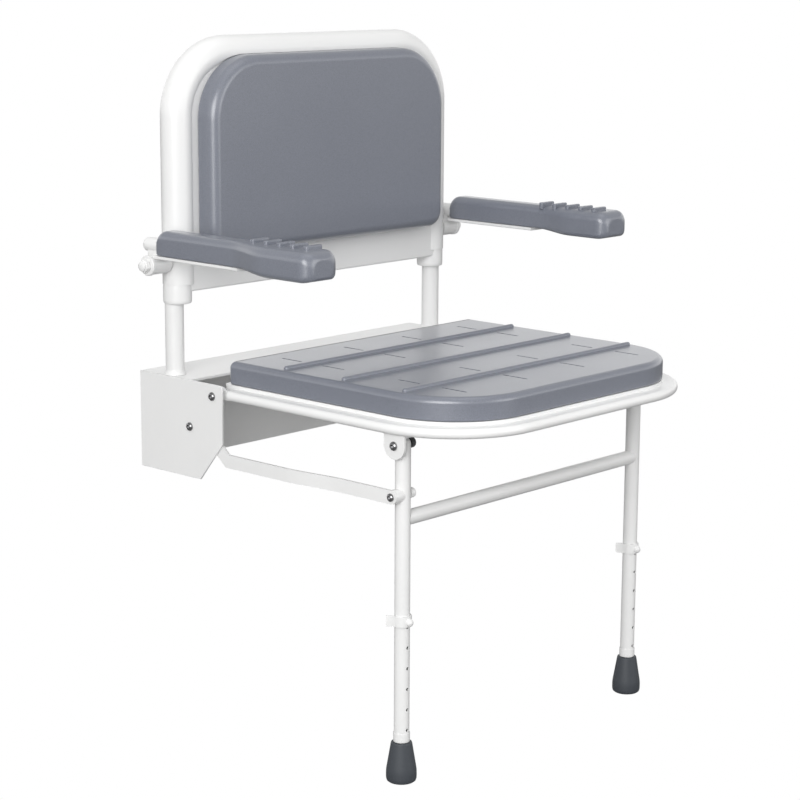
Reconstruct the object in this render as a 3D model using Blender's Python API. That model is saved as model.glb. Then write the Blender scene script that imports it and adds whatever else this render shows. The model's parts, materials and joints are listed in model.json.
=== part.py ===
import math

import bmesh
import bpy
from mathutils import Vector

# metres, +Z up. Heights are measured from the floor; the part frame sits at the
# middle of the wall plate, so everything hangs on an empty that lowers it by mountZ.
mountZ = 0.390
gap = 0.0003

# wall bracket
sideX, sideThick = 0.2575, 0.003
plateLow, plateTop = 0.327, 0.453
backThick, deckFront = 0.003, -0.0942
chamferFoot, chamferTop, cornerR = (-0.113, 0.327), (-0.155, 0.3785), 0.004
screwHoleR, screwHoleZ = 0.0036, 0.415

# seat hinge, leg hinge, stay pivots: (y, z)
seatPin = (-0.1374, 0.4379)
legPin = (-0.433, 0.4186)
stayFront = (-0.433, 0.3575)
stayRear = (seatPin[0], seatPin[1] + stayFront[1] - legPin[1])
stopPin = (-0.095, 0.393)
shankR = 0.004

# posts and back
postX, postY, postR, postWall = 0.2433, -0.0525, 0.012, 0.0018
postTop = 0.655
bolsterX, bolsterY, bolsterR = 0.2376, -0.0548, 0.0201
shellTop, shellCorner = 0.880, 0.100
socketLow, socketTop, socketR = 0.545, 0.580, 0.0183
panelFront, panelBack, panelLow = -0.0727, -0.047, 0.560
backPadX, backPadLow, backPadTop = 0.217, 0.608, 0.856
backPadFront, backPadBack = -0.1015, -0.073

# seat
padX, padRear, padFront = 0.230, -0.138, -0.527
padLow, padTop, padCorner, rearCorner = 0.450, 0.479, 0.107, 0.006
rimX, rimRear, rimFront, rimCorner, plinthRear = 0.250, -0.150, -0.546, 0.126, -0.130
rimLow, rimTop, plinthTop = 0.433, 0.4455, 0.4497
earX, earThick, earR, neckX = 0.250, 0.010, 0.0106, 0.2475

# legs
legX, legY, legR, legBoreR = 0.225, -0.433, 0.0094, 0.0079
legLow, crossbarZ, crossbarR = 0.0565, 0.328, 0.0092
holePitch, firstHoleZ, holeCount, holeR = 0.0259, 0.1959, 6, 0.0019
clipLow, clipTop = 0.1964, 0.2096
innerR, innerWall, innerLow, innerTop = 0.0076, 0.0015, 0.0123, 0.338
bushLow, bushTop, bushR = 0.0509, 0.0625, 0.0102
ferruleTop, ferruleShoulder, ferruleTopR, ferruleR = 0.0505, 0.018, 0.0125, 0.0187

# arms
armX, armPinY, armPinZ = 0.272, -0.055, 0.598
armTubeZ, armTubeR, armTubeRear, armTubeFront = 0.6222, 0.0095, -0.034, -0.318
armPadRear, armPadFront = -0.070, -0.356
armNarrow, armWide = (0.2595, 0.291), (0.2508, 0.3075)
innerSwell, outerSwell, undersideDrop = (-0.238, -0.298), (-0.205, -0.280), (-0.2245, -0.290)
armPadTop, armPadLowRear, armPadLowFront = 0.6435, 0.6122, 0.6075


def clearScene():
    for item in list(bpy.data.objects):
        bpy.data.objects.remove(item, do_unlink=True)


def surface(name, colour, roughness, metallic=0.0):
    material = bpy.data.materials.new(name)
    material.use_nodes = True
    shader = material.node_tree.nodes["Principled BSDF"]
    shader.inputs["Base Color"].default_value = (*colour, 1.0)
    shader.inputs["Roughness"].default_value = roughness
    shader.inputs["Metallic"].default_value = metallic
    material.diffuse_color = (*colour, 1.0)
    return material


clearScene()
whiteCoat = surface("white_powder_coat", (0.86, 0.86, 0.85), 0.35)
whitePlastic = surface("white_plastic", (0.84, 0.84, 0.83), 0.30)
greyPad = surface("grey_pad", (0.40, 0.43, 0.48), 0.55)
greyRubber = surface("grey_rubber", (0.07, 0.08, 0.09), 0.60)
chromeSteel = surface("chrome_steel", (0.75, 0.75, 0.76), 0.18, 1.0)
brightSteel = surface("bright_steel", (0.62, 0.62, 0.63), 0.30, 1.0)
blackPlastic = surface("black_plastic", (0.02, 0.02, 0.02), 0.40)


def pivot(name, place, parent):
    marker = bpy.data.objects.new(name, None)
    bpy.context.collection.objects.link(marker)
    origin = pivotPlaces[parent.name] if parent else Vector((0, 0, mountZ))
    pivotPlaces[name] = Vector(place)
    marker.location = Vector(place) - origin
    marker.parent = parent
    return marker


pivotPlaces = {}
wallFrame = pivot("wall_frame", (0, 0, 0), None)
seatTurn = pivot("seat_turn", (0, *seatPin), wallFrame)
legTurn = pivot("leg_turn", (0, *legPin), seatTurn)
stayTurn = pivot("stay_turn", (0, *stayFront), legTurn)


def addPiece(name, shape, material, parent=wallFrame, smooth=True):
    offset = pivotPlaces[parent.name]
    for vert in shape.verts:
        vert.co -= offset
    mesh = bpy.data.meshes.new(name)
    shape.to_mesh(mesh)
    shape.free()
    piece = bpy.data.objects.new(name, mesh)
    bpy.context.collection.objects.link(piece)
    piece.parent = parent
    if material:
        mesh.materials.append(material)
    if smooth:
        mesh.shade_smooth()
        mesh.set_sharp_from_angle(angle=math.radians(35))
    return piece


def boolean(piece, shape, operation="DIFFERENCE"):
    label = "cut" if operation == "DIFFERENCE" else "join"
    tool = addPiece(f"{piece.name}_{label}_{len(piece.modifiers)}", shape, None, piece.parent, False)
    tool.hide_render = True
    tool.display_type = "WIRE"
    modifier = piece.modifiers.new(label, "BOOLEAN")
    modifier.operation = operation
    modifier.object = tool
    return piece


def onPlane(axis, a, b, level):
    return {"x": (level, a, b), "y": (a, level, b), "z": (a, b, level)}[axis]


def fixNormals(shape):
    bmesh.ops.recalc_face_normals(shape, faces=shape.faces)
    return shape


def prism(outline, axis, low, high):
    shape = bmesh.new()
    rings = [[shape.verts.new(onPlane(axis, a, b, level)) for a, b in outline] for level in (low, high)]
    for ring in rings:
        shape.faces.new(ring)
    for index in range(len(outline)):
        after = (index + 1) % len(outline)
        shape.faces.new((rings[0][index], rings[0][after], rings[1][after], rings[1][index]))
    return fixNormals(shape)


def loft(rings):
    shape = bmesh.new()
    rows = [[shape.verts.new(point) for point in ring] for ring in rings]
    for lower, upper in zip(rows, rows[1:]):
        for index in range(len(lower)):
            after = (index + 1) % len(lower)
            shape.faces.new((lower[index], lower[after], upper[after], upper[index]))
    shape.faces.new(rows[0])
    shape.faces.new(rows[-1])
    return fixNormals(shape)


def turned(profile, axis, centre, steps=20):
    # profile: (radius, level) points; it starts and ends on the axis or closes on itself
    solid = profile[0][0] == 0
    shape = bmesh.new()
    rows = []
    for radius, level in profile:
        count = 1 if radius == 0 else steps
        angles = [2 * math.pi * step / steps for step in range(count)]
        rows.append([shape.verts.new(onPlane(axis, centre[0] + radius * math.cos(angle),
                                             centre[1] + radius * math.sin(angle), level))
                     for angle in angles])
    pairs = list(zip(rows, rows[1:])) + ([] if solid else [(rows[-1], rows[0])])
    for lower, upper in pairs:
        for step in range(steps):
            after = (step + 1) % steps
            corners = [lower[step % len(lower)], lower[after % len(lower)],
                       upper[after % len(upper)], upper[step % len(upper)]]
            corners = list(dict.fromkeys(corners))
            if len(corners) > 2:
                shape.faces.new(corners)
    return fixNormals(shape)


def rod(axis, centre, radius, low, high, steps=16):
    return turned([(0, low), (radius, low), (radius, high), (0, high)], axis, centre, steps)


def sleeve(axis, centre, outer, inner, low, high, steps=16):
    return turned([(outer, low), (outer, high), (inner, high), (inner, low)], axis, centre, steps)


def arc(centre, radius, start, stop, steps):
    return [(centre[0] + radius * math.cos(math.radians(start + (stop - start) * step / steps)),
             centre[1] + radius * math.sin(math.radians(start + (stop - start) * step / steps)))
            for step in range(steps + 1)]


def roundedBox(lowA, highA, lowB, highB, radii, steps=6):
    # corner radii run low-low, high-low, high-high, low-high
    corners = [((lowA, lowB), (1, 1), 180), ((highA, lowB), (-1, 1), 270),
               ((highA, highB), (-1, -1), 0), ((lowA, highB), (1, -1), 90)]
    outline = []
    for (corner, inward, start), radius in zip(corners, radii):
        centre = (corner[0] + inward[0] * radius, corner[1] + inward[1] * radius)
        outline += arc(centre, radius, start, start + 90, steps) if radius > 0 else [corner]
    return outline


def bevelledPrism(outline, axis, low, high, edge, steps=3, bothEnds=True):
    # prism whose rim is rolled over by the edge radius
    count = len(outline)
    middle = (sum(a for a, b in outline) / count, sum(b for a, b in outline) / count)
    half = (max(abs(a - middle[0]) for a, b in outline), max(abs(b - middle[1]) for a, b in outline))

    def inset(amount):
        return [(middle[0] + (a - middle[0]) * (1 - amount / half[0]),
                 middle[1] + (b - middle[1]) * (1 - amount / half[1])) for a, b in outline]

    rolls = [(edge * (1 - math.sin(turn)), edge * (1 - math.cos(turn)))
             for turn in (math.pi / 2 * step / steps for step in range(steps + 1))]
    upper = [(high - rise, inset(amount)) for rise, amount in rolls]
    lower = [(low + rise, inset(amount)) for rise, amount in rolls[::-1]]
    if not bothEnds:
        lower = [(low, inset(0))]
    rings = [[onPlane(axis, a, b, level) for a, b in points] for level, points in lower + upper]
    return loft(rings)


def hull(circles, steps=10):
    # convex outline round a few (centre, radius) discs
    points = [point for centre, radius in circles for point in arc(centre, radius, 0, 360, steps * 4)[:-1]]
    points = sorted(set((round(a, 7), round(b, 7)) for a, b in points))

    def half(ordered):
        chain = []
        for point in ordered:
            while len(chain) > 1 and ((chain[-1][0] - chain[-2][0]) * (point[1] - chain[-2][1])
                                      - (chain[-1][1] - chain[-2][1]) * (point[0] - chain[-2][0])) <= 1e-12:
                chain.pop()
            chain.append(point)
        return chain[:-1]

    return half(points) + half(points[::-1])


def buttonHead(side, inner, radius=0.0055, height=0.0033):
    # domed screw head outside x = side * inner, with its hexagon socket
    profile = [(0, inner), (radius, inner), (radius, inner + height * 0.25),
               (radius * 0.88, inner + height * 0.62), (radius * 0.62, inner + height * 0.9),
               (radius * 0.3, inner + height), (0, inner + height)]
    return [(r, side * level) for r, level in profile]


def bolt(name, side, pin, headInner, shankEnd, parent, radius=shankR, headR=0.0055, headHeight=0.0033):
    head = buttonHead(side, headInner, headR, headHeight)[1:]
    profile = [(0, side * shankEnd), (radius, side * shankEnd), (radius, side * headInner)] + head
    piece = addPiece(name, turned(profile, "x", pin, 14), chromeSteel, parent)
    socket = turned([(0, side * (headInner + headHeight + 0.001)), (headR * 0.5, side * (headInner + headHeight + 0.001)),
                     (headR * 0.5, side * (headInner + headHeight * 0.35)), (0, side * (headInner + headHeight * 0.35))],
                    "x", pin, 6)
    return boolean(piece, socket)


def capNut(name, side, pin, outer, inner, bore, radius, depth, parent, material, steps=16):
    # cap from |x| = outer in to |x| = inner, bored from its outer face
    rise = outer - inner
    profile = [(bore, side * outer), (radius, side * outer), (radius, side * (inner + rise * 0.25)),
               (radius * 0.82, side * (inner + rise * 0.06)), (radius * 0.5, side * inner), (0, side * inner),
               (0, side * (outer - depth)), (bore, side * (outer - depth))]
    body = turned([(0, side * (outer - depth)), (bore, side * (outer - depth))] + profile[:6], "x", pin, steps)
    return addPiece(name, body, material, parent)


def hexNut(name, side, pin):
    span = (side * 0.2392, side * 0.2345)
    nut = addPiece(name, rod("x", pin, 0.0072, *span, 6), brightSteel, smooth=False)
    return boolean(nut, rod("x", pin, shankR + gap, side * 0.242, side * 0.230, 14))


# ---- wall bracket
plate = addPiece("wall_back_plate",
                 prism(roundedBox(-0.2542, 0.2542, plateLow, 0.4497, (0, 0, 0, 0)), "y", -backThick, 0),
                 whiteCoat, smooth=False)
for holeX in (-0.180, -0.060, 0.060, 0.180):
    boolean(plate, rod("y", (holeX, screwHoleZ), screwHoleR, -backThick - 0.002, 0.002, 12))

deckOutline = roundedBox(-0.2542, 0.2542, deckFront, 0.0, (0.004, 0.004, 0, 0), 3)
addPiece("top_plate", prism(deckOutline, "z", plateTop - 0.003, plateTop), whiteCoat, smooth=False)

for side, label in ((-1, "left"), (1, "right")):
    outline = [(0, plateTop), (0, plateLow), chamferFoot, chamferTop]
    outline += arc((chamferTop[0] + cornerR, plateTop - cornerR), cornerR, 180, 90, 4)
    cheek = addPiece(f"side_plate_{label}",
                     prism(outline, "x", *sorted((side * sideX, side * (sideX - sideThick)))), whiteCoat)
    for pin in (seatPin, stopPin):
        boolean(cheek, rod("x", pin, shankR + gap, side * 0.262, side * 0.250, 14))
    if side < 0:
        boolean(cheek, rod("x", stayRear, 0.0032, side * 0.2567, side * 0.250, 14))

    bolt(f"seat_hinge_bolt_{label}", side, seatPin, sideX + gap, 0.2345, wallFrame)
    hexNut(f"seat_hinge_nut_{label}", side, seatPin)
    bolt(f"seat_stop_bolt_{label}", side, stopPin, sideX + gap, 0.2345, wallFrame)
    addPiece(f"seat_stop_sleeve_{label}",
             sleeve("x", stopPin, 0.007, shankR + gap, side * 0.2541, side * 0.2396), blackPlastic)
    hexNut(f"seat_stop_nut_{label}", side, stopPin)

    flare = [(postR, 0.460), (postR + 0.0012, 0.4555), (postR + 0.0020, plateTop + gap)]
    boreR = postR - postWall
    profile = flare + [(boreR, plateTop + gap), (boreR, postTop), (postR, postTop)]
    post = addPiece(f"post_{label}", turned(profile, "z", (side * postX, postY), 20), whiteCoat)
    boolean(post, rod("x", (armPinY, armPinZ), shankR + gap, side * 0.28, side * 0.20, 12))

stud = [(0, -0.2564), (0.0029, -0.2564), (0.0029, -0.2508), (0.0058, -0.2508), (0.0058, -0.2485), (0, -0.2485)]
addPiece("stay_pivot_stud", turned(stud, "x", stayRear), brightSteel)

# ---- back shell: bolster bent round the top, panel, sockets
bend = shellCorner - bolsterR
pathPoints = [(-bolsterX, socketTop - 0.010)]
pathPoints += arc((-bolsterX + bend, shellTop - shellCorner), bend, 180, 90, 8)
pathPoints += arc((bolsterX - bend, shellTop - shellCorner), bend, 90, 0, 8)
pathPoints += [(bolsterX, socketTop - 0.010)]


def bolsterRing(index):
    before = pathPoints[max(index - 1, 0)]
    after = pathPoints[min(index + 1, len(pathPoints) - 1)]
    direction = Vector((after[0] - before[0], after[1] - before[1])).normalized()
    outward = Vector((-direction.y, direction.x))
    spread = [2 * math.pi * step / 24 for step in range(16)]
    return [(pathPoints[index][0] + bolsterR * math.cos(angle) * outward.x,
             bolsterY + bolsterR * math.sin(angle),
             pathPoints[index][1] + bolsterR * math.cos(angle) * outward.y) for angle in spread]


shell = addPiece("back_shell", loft([bolsterRing(index) for index in range(len(pathPoints))]), whitePlastic)
panelOutline = roundedBox(-0.236, 0.236, panelLow, 0.862, (0.008, 0.008, 0.078, 0.078), 5)
boolean(shell, bevelledPrism(panelOutline, "y", panelBack, panelFront, 0.003, 2), "UNION")
for side in (-1, 1):
    centre = (side * 0.2393, -0.0546)
    profile = [(0, socketLow), (socketR - 0.002, socketLow), (socketR, socketLow + 0.002),
               (socketR, 0.566), (socketR - 0.003, socketTop), (0, socketTop)]
    boolean(shell, turned(profile, "z", centre, 20), "UNION")
recess = roundedBox(-backPadX - gap, backPadX + gap, backPadLow - gap, backPadTop + gap,
                    (0.012, 0.012, 0.075, 0.075), 5)
boolean(shell, prism(recess, "y", -0.13, panelFront))
for side in (-1, 1):
    boolean(shell, rod("z", (side * postX, postY), postR + gap, 0.5, postTop + 0.001, 20))
    boolean(shell, rod("x", (armPinY, armPinZ), shankR + gap, side * 0.28, side * 0.2245, 12))

backOutline = roundedBox(-backPadX, backPadX, backPadLow, backPadTop, (0.020, 0.020, 0.080, 0.080), 7)
addPiece("back_pad", bevelledPrism([(a, b) for a, b in backOutline], "y", backPadFront, backPadBack, 0.010, 3),
         greyPad)

# ---- seat
rimOutline = roundedBox(-rimX, rimX, rimFront, rimRear, (rimCorner, rimCorner, 0.004, 0.004), 8)
seat = addPiece("seat_base", bevelledPrism(rimOutline, "z", rimLow, rimTop, 0.0058, 3), whitePlastic, seatTurn)
plinth = roundedBox(-padX, padX, padFront, plinthRear, (padCorner, padCorner, rearCorner, rearCorner), 8)
boolean(seat, prism(plinth, "z", rimLow + 0.004, plinthTop), "UNION")
hollow = roundedBox(-rimX + 0.016, rimX - 0.016, rimFront + 0.016, rimRear - 0.012,
                    (rimCorner - 0.016, rimCorner - 0.016, 0.006, 0.006), 8)
boolean(seat, prism(hollow, "z", rimLow - 0.01, plinthTop - 0.0045))
for side in (-1, 1):
    ear = rod("x", seatPin, earR, side * earX, side * (earX - earThick), 32)
    boolean(seat, ear, "UNION")
    neck = roundedBox(-0.158, seatPin[0], rimLow + 0.0008, rimTop - 0.0008, (0, 0, 0, 0))
    boolean(seat, prism(neck, "x", *sorted((side * neckX, side * (earX - earThick + 0.0001)))), "UNION")
    lobe = hull([(seatPin, 0.0104), ((stopPin[0] - 0.0123, stopPin[1]), 0.005)], 6)
    boolean(seat, prism(lobe, "x", *sorted((side * 0.2475, side * 0.2402))), "UNION")
for side in (-1, 1):
    boolean(seat, rod("x", seatPin, 0.0068, side * 0.256, side * 0.230, 16))

padOutline = roundedBox(-padX, padX, padFront, padRear, (padCorner, padCorner, rearCorner, rearCorner), 9)
addPiece("seat_pad", bevelledPrism(padOutline, "z", padLow, padTop, 0.007, 3, False), greyPad, seatTurn)

for side, label in ((-1, "left"), (1, "right")):
    collar = [(0.0065, side * 0.2397), (0.0065, side * 0.2503), (0.0085, side * 0.2503), (0.0085, side * 0.2541),
              (shankR + gap, side * 0.2541), (shankR + gap, side * 0.2397)]
    addPiece(f"seat_hinge_bush_{label}", turned(collar, "x", seatPin), blackPlastic, seatTurn)

    tab = [(legPin[0] - 0.0165, rimLow - gap)] + arc(legPin, 0.0165, 180, 360, 12) + [(legPin[0] + 0.0165, rimLow - gap)]
    bracket = addPiece(f"leg_bracket_{label}", prism(tab, "x", *sorted((side * 0.241, side * 0.2375))),
                       whiteCoat, seatTurn)
    foot = roundedBox(*sorted((side * 0.2385, side * 0.211)), legPin[0] - 0.0165, legPin[0] + 0.0165, (0, 0, 0, 0))
    boolean(bracket, prism(foot, "z", rimLow - gap - 0.003, rimLow - gap), "UNION")
    boolean(bracket, rod("x", legPin, shankR + gap, side * 0.245, side * 0.2345, 20))
    bolt(f"leg_hinge_bolt_{label}", side, legPin, 0.241 + gap, 0.2105, seatTurn)
    capNut(f"leg_hinge_nut_{label}", side, legPin, 0.2152, 0.208, shankR + gap, 0.0065, 0.0058,
           seatTurn, blackPlastic)

# ---- legs
for side, label in ((-1, "left"), (1, "right")):
    dome = [(legR * math.cos(math.radians(angle)), legPin[1] + legR * math.sin(math.radians(angle)) * 0.98)
            for angle in (0, 30, 60)]
    profile = [(0, legPin[1] + legR * 0.98)] + dome[::-1] + [(legR, legLow), (legBoreR, legLow),
               (legBoreR, legPin[1] + 0.004), (0, legPin[1] + 0.004)]
    tube = addPiece(f"leg_tube_{label}", turned(profile, "z", (side * legX, legY), 20), whiteCoat, legTurn)
    boolean(tube, rod("x", legPin, shankR + gap, side * 0.24, side * 0.21, 16))
    if side < 0:
        boolean(tube, rod("x", stayFront, 0.0033, side * 0.24, side * 0.21, 16))
    for index in range(holeCount):
        boolean(tube, rod("y", (side * legX, firstHoleZ - index * holePitch), holeR, legY - 0.012, legY, 8))
    boolean(tube, rod("y", (side * legX, 0.2020), 0.0022, legY - 0.012, legY, 8))

    bush = [(bushR, bushLow + 0.001), (bushR, bushTop), (legR + gap, bushTop), (legR + gap, legLow - gap),
            (legBoreR, legLow - gap), (legBoreR, bushLow), (bushR - 0.001, bushLow)]
    addPiece(f"leg_end_bush_{label}", turned(bush, "z", (side * legX, legY), 20), whitePlastic, legTurn)

    slideTurn = pivot(f"foot_slide_{label}", (side * legX, legY, 0.0), legTurn)
    inner = addPiece(f"leg_inner_{label}",
                     sleeve("z", (side * legX, legY), innerR, innerR - innerWall, innerLow, innerTop, 16),
                     brightSteel, slideTurn)
    for index in range(7):
        boolean(inner, rod("y", (side * legX, firstHoleZ + index * holePitch - 5 * holePitch), holeR + 0.0002,
                           legY - 0.012, legY, 8))
    ferrule = [(0, 0), (ferruleR - 0.006, 0), (ferruleR - 0.0018, 0.0018), (ferruleR, 0.006),
               (ferruleR, ferruleShoulder), (ferruleTopR, ferruleTop), (innerR + gap, ferruleTop),
               (innerR + gap, innerLow - gap), (0, innerLow - gap)]
    addPiece(f"ferrule_{label}", turned(ferrule, "z", (side * legX, legY), 20), greyRubber, slideTurn)

    # spring clip: a band open to the rear, its left end flared, its domed pin in front
    clipTurn = pivot(f"clip_pull_{label}", (side * legX, legY, 0.2020), legTurn)
    bore, skin = legR + gap, 0.0019
    outline = arc((side * legX, legY), bore + skin, 0, -180, 14)
    outline += [(side * legX - bore - skin, legY + 0.005), (side * legX - bore - 0.0062, legY + 0.0115),
                (side * legX - bore - 0.0046, legY + 0.0125), (side * legX - bore, legY + 0.0065)]
    outline += arc((side * legX, legY), bore, -180, 0, 14)
    outline += [(side * legX + bore, legY + 0.0040), (side * legX + bore + skin, legY + 0.0040)]
    clip = addPiece(f"height_clip_{label}", prism(outline, "z", clipLow, clipTop), whitePlastic, clipTurn)
    knob = [(0, -0.0162), (0.0028, -0.0158), (0.0045, -0.0140), (0.0050, -0.0118), (0.0050, -0.0106),
            (0.0018, -0.0106), (0.0018, -0.0083), (0, -0.0083)]
    boolean(clip, turned([(r, legY + y) for r, y in knob], "y", (side * legX, 0.2020), 14), "UNION")

crossbar = addPiece("leg_crossbar", rod("x", (legY, crossbarZ), crossbarR, -legX, legX, 20), whiteCoat, legTurn)
for side in (-1, 1):
    boolean(crossbar, rod("z", (side * legX, legY), legR + gap, 0.30, 0.36, 20))

boss = addPiece("stay_boss", sleeve("x", stayFront, 0.0085, 0.0033, -0.2426, -0.228, 16), whiteCoat, legTurn)
boolean(boss, rod("z", (-legX, legY), legR + gap, 0.33, 0.38, 20))
bolt("stay_front_bolt", -1, stayFront, 0.2464, 0.212, legTurn, 0.003, 0.005, 0.0030)
capNut("stay_front_cap", -1, stayFront, 0.2152, 0.2070, 0.0033, 0.00625, 0.0062, legTurn, whitePlastic)

# ---- stay: flat strip, set outward halfway, turned up at its rear eye
bendPoint = (-0.160, stayFront[1])
halfWidth, stripThick, innerFace = 0.0085, 0.003, 0.2429


def stripFace(y):
    share = min(max((y + 0.355) / 0.090, 0.0), 1.0)
    return innerFace + 0.0080 * share * share * (3 - 2 * share)


slope = Vector((stayRear[0] - bendPoint[0], stayRear[1] - bendPoint[1])).normalized()
normal = Vector((-slope.y, slope.x))
turnHalf = math.atan2(slope.y, slope.x) / 2
upperBend = (bendPoint[0] - halfWidth * math.tan(turnHalf), bendPoint[1] + halfWidth)
lowerBend = (bendPoint[0] + halfWidth * math.tan(turnHalf), bendPoint[1] - halfWidth)
stations = [-0.355 + 0.090 * index / 8 for index in range(9)]
upper = [(y, bendPoint[1] + halfWidth) for y in stations] + [upperBend]
lower = [(y, bendPoint[1] - halfWidth) for y in stations] + [lowerBend]
eye = [(stayRear[0] + halfWidth * (math.cos(angle) * slope.x + math.sin(angle) * normal.x),
        stayRear[1] + halfWidth * (math.cos(angle) * slope.y + math.sin(angle) * normal.y))
       for angle in (math.radians(-90 + 15 * step) for step in range(13))]
nose = arc(stayFront, halfWidth, 90, 270, 12)
upperLine = nose[:7][::-1] + upper + eye[6:][::-1]
lowerLine = nose[6:] + lower + eye[:7]
strip = bmesh.new()
rows = []
for face in (0.0, stripThick):
    rows.append([[strip.verts.new((-(stripFace(y) + face), y, z)) for y, z in line]
                 for line in (upperLine, lowerLine)])
count = len(upperLine)
for near, far in ((rows[0][0], rows[1][0]), (rows[0][1], rows[1][1])):
    for index in range(count - 1):
        strip.faces.new((near[index], near[index + 1], far[index + 1], far[index]))
for lines in rows:
    for index in range(count - 1):
        strip.faces.new((lines[0][index], lines[0][index + 1], lines[1][index + 1], lines[1][index]))
bmesh.ops.remove_doubles(strip, verts=strip.verts, dist=0.00002)
bmesh.ops.dissolve_degenerate(strip, edges=strip.edges, dist=0.00002)
stay = addPiece("stay_bar", fixNormals(strip), whiteCoat, stayTurn)
boolean(stay, rod("x", stayFront, 0.0033, -0.25, -0.24, 16))
boolean(stay, rod("x", stayRear, 0.0032, -0.256, -0.248, 16))


# ---- arms
def blend(value, start, stop):
    share = min(max((value - start) / (stop - start), 0.0), 1.0)
    return share * share * (3 - 2 * share)


def armSpan(y):
    return tuple(narrow + (wide - narrow) * blend(y, *swell)
                 for narrow, wide, swell in zip(armNarrow, armWide, (innerSwell, outerSwell)))


def armSection(y, side, low, high, radii, shrink=0.0):
    near, far = armSpan(y)
    outline = roundedBox(near + shrink, far - shrink, low, high, radii, 4)
    return [(side * x, y, z) for x, z in outline]


for side, label in ((-1, "left"), (1, "right")):
    armTurn = pivot(f"arm_turn_{label}", (side * armX, armPinY, armPinZ), wallFrame)
    bolt(f"arm_pivot_bolt_{label}", side, (armPinY, armPinZ), 0.2905, 0.226, wallFrame, shankR, 0.0088, 0.0095)
    ring = [(0.0118, side * 0.2581), (0.0122, side * 0.2600), (0.0122, side * 0.2860), (0.0112, side * 0.2902),
            (shankR + gap, side * 0.2902), (shankR + gap, side * 0.2581)]
    barrel = addPiece(f"arm_barrel_{label}", turned(ring, "x", (armPinY, armPinZ), 20), whiteCoat, armTurn)
    saddle = roundedBox(*sorted((side * 0.264, side * 0.280)), armPinY - 0.009, armPinY + 0.009, (0, 0, 0, 0))
    boolean(barrel, prism(saddle, "z", armPinZ + 0.009, armTubeZ - 0.004), "UNION")
    boolean(barrel, rod("y", (side * armX, armTubeZ), armTubeR + gap, armPinY - 0.02, armPinY + 0.02, 20))

    nearEnd = [(0, armTubeRear), (armTubeR * 0.55, armTubeRear - 0.0008), (armTubeR * 0.88, armTubeRear - 0.0032),
               (armTubeR, armTubeRear - 0.0070), (armTubeR, armTubeFront), (0, armTubeFront)]
    addPiece(f"arm_tube_{label}", turned(nearEnd, "y", (side * armX, armTubeZ), 20), whiteCoat, armTurn)

    trayRings = [armSection(y, side, 0.6078, 0.6119, (0.0015, 0.0015, 0, 0)) for y in (armPadRear, -0.150, -0.204, -0.214, -0.224)]
    addPiece(f"arm_tray_{label}", loft(trayRings), whiteCoat, armTurn)

    padRings = []
    rearShape = [(armPadRear, 0.005, 0.015), (armPadRear - 0.0015, 0.003, 0.010),
                 (armPadRear - 0.006, 0.0008, 0.004), (armPadRear - 0.014, 0.0, 0.0)]
    for y, shrink, drop in rearShape:
        padRings.append(armSection(y, side, armPadLowRear, armPadTop - drop, (0.002, 0.002, 0.009, 0.009), shrink))
    for y in (-0.150, -0.204, -0.214, -0.2245, -0.234, -0.243, -0.254, -0.265, -0.276, -0.287, -0.298, -0.318, -0.340):
        low = armPadLowRear + (armPadLowFront - armPadLowRear) * blend(y, *undersideDrop)
        soft = 0.002 + 0.005 * blend(y, *outerSwell)
        padRings.append(armSection(y, side, low, armPadTop, (soft, soft, 0.012, 0.012)))
    for y, shrink in ((-0.349, 0.0020), (-0.354, 0.0060), (armPadFront, 0.0110)):
        padRings.append(armSection(y, side, armPadLowFront + shrink * 0.4, armPadTop - shrink * 0.5,
                                   (0.007, 0.007, 0.012, 0.012), shrink))
    armPad = addPiece(f"arm_pad_{label}", loft(padRings), greyPad, armTurn)
    boolean(armPad, rod("y", (side * armX, armTubeZ), armTubeR + gap, -0.320, -0.05, 20))
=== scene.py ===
import json
import math

import bmesh
import bpy
from mathutils import Matrix, Vector


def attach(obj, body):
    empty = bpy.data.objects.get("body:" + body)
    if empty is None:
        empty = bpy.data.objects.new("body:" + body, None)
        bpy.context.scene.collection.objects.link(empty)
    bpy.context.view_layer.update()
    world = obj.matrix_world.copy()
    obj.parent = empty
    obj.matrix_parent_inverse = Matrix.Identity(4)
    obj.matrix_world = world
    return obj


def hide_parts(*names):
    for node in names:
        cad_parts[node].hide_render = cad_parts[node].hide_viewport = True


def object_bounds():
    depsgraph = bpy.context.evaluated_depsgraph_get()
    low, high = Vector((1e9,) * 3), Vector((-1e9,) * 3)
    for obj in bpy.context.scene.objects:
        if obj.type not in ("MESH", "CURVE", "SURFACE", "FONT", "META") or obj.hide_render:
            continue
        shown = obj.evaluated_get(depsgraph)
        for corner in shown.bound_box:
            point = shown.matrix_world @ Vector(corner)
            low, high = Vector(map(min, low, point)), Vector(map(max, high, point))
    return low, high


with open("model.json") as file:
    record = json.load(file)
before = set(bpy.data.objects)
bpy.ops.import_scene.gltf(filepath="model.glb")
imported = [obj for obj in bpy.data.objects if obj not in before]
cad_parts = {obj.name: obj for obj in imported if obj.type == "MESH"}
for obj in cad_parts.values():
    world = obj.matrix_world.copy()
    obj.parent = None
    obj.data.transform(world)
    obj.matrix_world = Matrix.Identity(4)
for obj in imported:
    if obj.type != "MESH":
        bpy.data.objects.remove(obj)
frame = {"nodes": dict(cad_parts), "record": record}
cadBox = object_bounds()
floorZ = cadBox[0].z  # heights below are from the floor, and this lowers them to the wall mount
gap = 0.0003  # running gap between pieces that fit one inside the other
sides = ((-1, "left"), (1, "right"))

print("stage: materials")


def nodeIn(tree, kind, **values):
    node = tree.nodes.new(kind)
    for key, value in values.items():
        setattr(node, key, value)
    return node


def setRange(node, source, target):
    node.inputs["From Min"].default_value, node.inputs["From Max"].default_value = source
    node.inputs["To Min"].default_value, node.inputs["To Max"].default_value = target


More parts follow.
